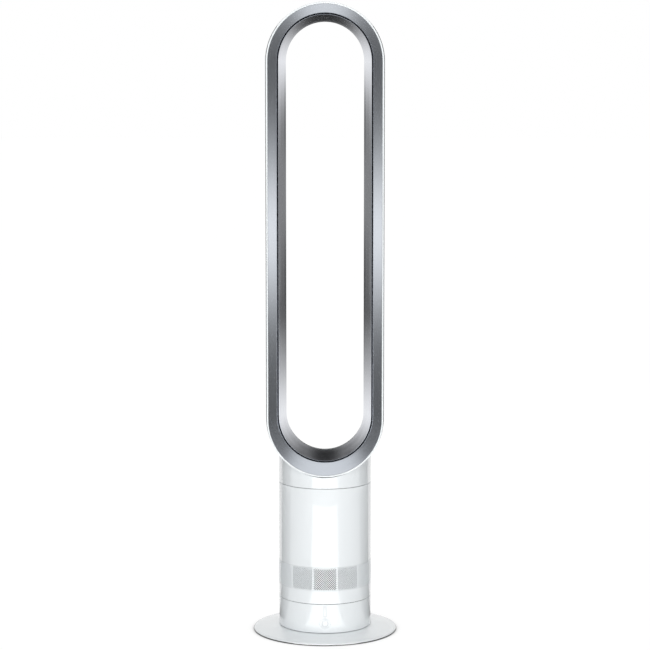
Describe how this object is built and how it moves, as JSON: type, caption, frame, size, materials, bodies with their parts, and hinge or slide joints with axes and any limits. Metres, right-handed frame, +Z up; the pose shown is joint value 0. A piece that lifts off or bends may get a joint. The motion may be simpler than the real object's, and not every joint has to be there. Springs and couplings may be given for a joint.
{
  "type": "bladeless fan",
  "caption": "Tall bladeless tower fan: a slotted stadium-shaped loop on a round body that turns on a flat disc foot.",
  "frame": {"origin": "centre of the foot's underside, on the floor", "axes": "+Z up along the body, the front with the power button faces -Y, +X is the viewer's right"},
  "size_m": [0.23, 0.23, 1.007],
  "materials": {
    "white_gloss": "smooth glossy white moulding",
    "silver": "satin metallic silver coating on plastic",
    "grey_plastic": "fine matt grey moulding",
    "dark_plastic": "matt near-black moulding",
    "window": "clear-fronted white window",
    "nylon": "natural nylon",
    "rubber": "matt soft rubber",
    "foam": "open-cell acoustic foam",
    "steel": "plated steel",
    "windings": "laminated core with enamelled copper windings",
    "board": "green circuit board with moulded components"
  },
  "bodies": {
    "foot": {"foot_plate": "white_gloss", "foot_ballast": "steel", "foot_base_cover": "grey_plastic", "foot_pad_ring": "rubber", "foot_screw_1": "steel", "foot_screw_2": "steel", "foot_screw_3": "steel", "cable_gland": "grey_plastic", "spindle": "nylon", "spindle_retainer": "steel", "slew_gear": "nylon", "slew_glide_ring": "nylon"},
    "tower": {"control_casing": "white_gloss", "turntable": "grey_plastic", "slew_motor": "steel", "display_window": "window", "display_led": "dark_plastic", "tact_switch": "dark_plastic", "switch_board": "board", "infrared_receiver": "dark_plastic", "main_board": "board", "casing_screw_1": "steel", "casing_screw_2": "steel", "casing_screw_3": "steel", "body_floor": "grey_plastic", "casing_skirt": "white_gloss", "inlet_grille": "white_gloss", "main_casing": "white_gloss", "silencer_foam": "foam", "inlet_plate": "grey_plastic", "duct_seal": "rubber", "housing_mount_1": "rubber", "housing_mount_2": "rubber", "housing_mount_3": "rubber", "impeller_housing": "grey_plastic", "lower_bearing": "steel", "upper_bearing": "steel", "motor_stator": "windings", "motor_board": "board", "motor_bucket": "dark_plastic", "motor_cap": "dark_plastic", "outlet_seal": "rubber", "outlet_collar": "grey_plastic", "nozzle_neck": "white_gloss", "nozzle_rear_shell_top": "white_gloss", "nozzle_rear_shell_bottom": "white_gloss", "nozzle_rear_shell_left": "white_gloss", "nozzle_rear_shell_right": "white_gloss", "nozzle_front_ring": "silver", "nozzle_inner_ring_top": "silver", "nozzle_inner_ring_bottom": "silver", "nozzle_inner_ring_left": "silver", "nozzle_inner_ring_right": "silver", "dock_magnet": "steel"},
    "power_button": {"power_button": "white_gloss"},
    "rotor": {"impeller": "dark_plastic", "rotor_shaft": "steel", "rotor_magnet": "steel"},
    "drive_pinion": {"drive_pinion": "nylon"}
  },
  "joints": [
    {"name": "tower_slew", "type": "hinge", "parent": "foot", "child": "tower", "pos_m": [0, 0, 0.0146], "axis": [0, 0, 1], "range_deg": [-35, 35]},
    {"name": "pinion_turn", "type": "hinge", "parent": "tower", "child": "drive_pinion", "pos_m": [0, 0.0375, 0.0114], "axis": [0, 0, 1], "range_deg": [-141, 141]},
    {"name": "button_press", "type": "slide", "parent": "tower", "child": "power_button", "axis": [0, 1, 0], "range_m": [0, 0.0012], "stiffness_N_per_m": 500},
    {"name": "rotor_spin", "type": "hinge", "parent": "tower", "child": "rotor", "pos_m": [0, 0, 0.147], "axis": [0, 0, 1], "continuous": true}
  ],
  "couplings": [
    {"joint": "pinion_turn", "follows": "tower_slew", "ratio": 4}
  ]
}
